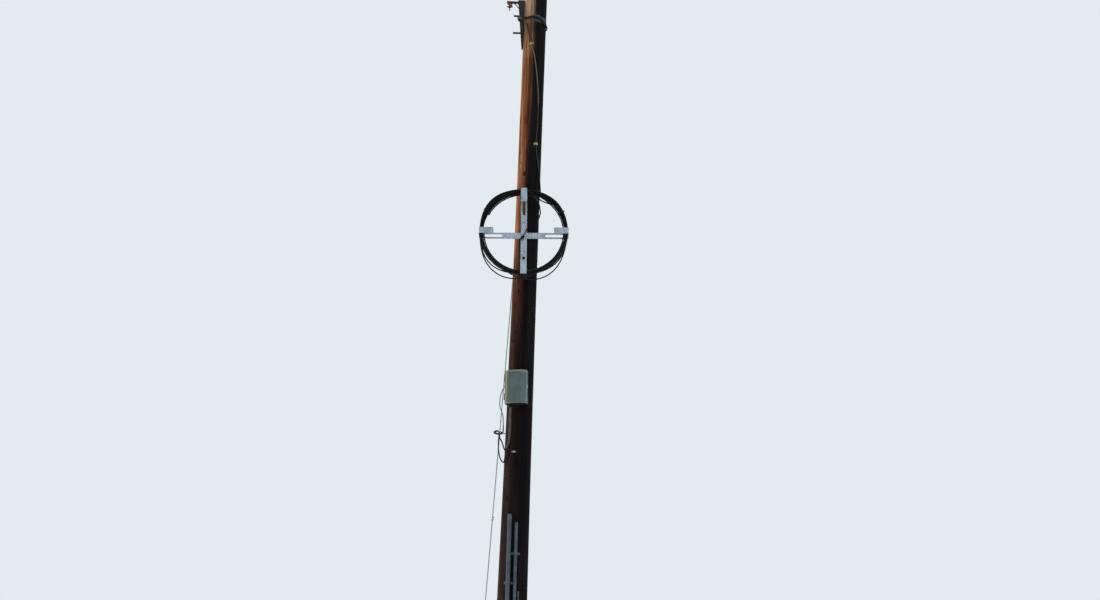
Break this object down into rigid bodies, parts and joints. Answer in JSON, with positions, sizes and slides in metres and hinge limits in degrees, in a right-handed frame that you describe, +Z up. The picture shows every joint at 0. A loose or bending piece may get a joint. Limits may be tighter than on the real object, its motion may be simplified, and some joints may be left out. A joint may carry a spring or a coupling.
{
  "type": "wooden utility pole",
  "caption": "Tapered wooden utility pole with a hooked cable storage cross and coil, a hinged terminal box, conduits, a top rail and arm, and a ground stay.",
  "frame": {"origin": "on the pole's axis at ground level, in the middle of the pole's flat lower face", "axes": "+Z up along the pole, -Y towards the front that carries the storage cross and the box, +X to the right seen from the front"},
  "size_m": [0.7966, 4.2725, 7.6001],
  "materials": {
    "pole_timber": "creosoted, weathered, with checks and knots",
    "galvanised_steel": "hot-dip galvanised, dull spangle",
    "dark_steel": "weathered, rusted dark steel",
    "black_jacket": "black polyethylene sheath",
    "brown_jacket": "faded tan sheath",
    "pale_plastic": "weathered pale plastic",
    "box_plastic": "moulded grey-green plastic",
    "brown_porcelain": "brown glaze",
    "white_porcelain": "white glaze"
  },
  "bodies": {
    "root": {"pole": "pole_timber", "cross_vertical_strap": "galvanised_steel", "cross_horizontal_strap": "galvanised_steel", "cross_screws": "galvanised_steel", "coil_turns_main": "black_jacket", "coil_turns_sagging": "black_jacket", "coil_ties": "black_jacket", "centre_tie": "black_jacket", "front_cable": "black_jacket", "front_cable_clips": "pale_plastic", "box_bracket": "galvanised_steel", "box_bracket_screws": "galvanised_steel", "box_body": "box_plastic", "box_hinge_pin": "galvanised_steel", "box_glands": "black_jacket", "feed_cable": "brown_jacket", "slack_loops": "black_jacket", "slack_hook": "dark_steel", "side_cable": "black_jacket", "spare_saddle": "galvanised_steel", "conduit_large": "galvanised_steel", "conduit_small": "galvanised_steel", "conduit_thin": "galvanised_steel", "conduit_saddles": "galvanised_steel", "side_rail": "dark_steel", "rail_bolts": "dark_steel", "line_arm": "dark_steel", "arm_braces": "dark_steel", "arm_insulator": "brown_porcelain", "arm_link": "dark_steel", "guy_guard_plate": "galvanised_steel", "guy_grip_upper": "galvanised_steel", "guy_strand_upper": "galvanised_steel", "guy_insulator": "white_porcelain", "guy_strand_lower": "galvanised_steel", "guy_grip_lower": "galvanised_steel", "guy_anchor_rod": "galvanised_steel", "saddle_screws": "galvanised_steel"},
    "door": {"box_door": "box_plastic", "box_latch": "galvanised_steel"}
  },
  "joints": [
    {"name": "box_door_hinge", "type": "hinge", "parent": "root", "child": "door", "pos_m": [-0.12599, -0.15308, 4.01775], "axis": [0.0342, -0.007, -0.9994], "range_deg": [0, 110]}
  ]
}
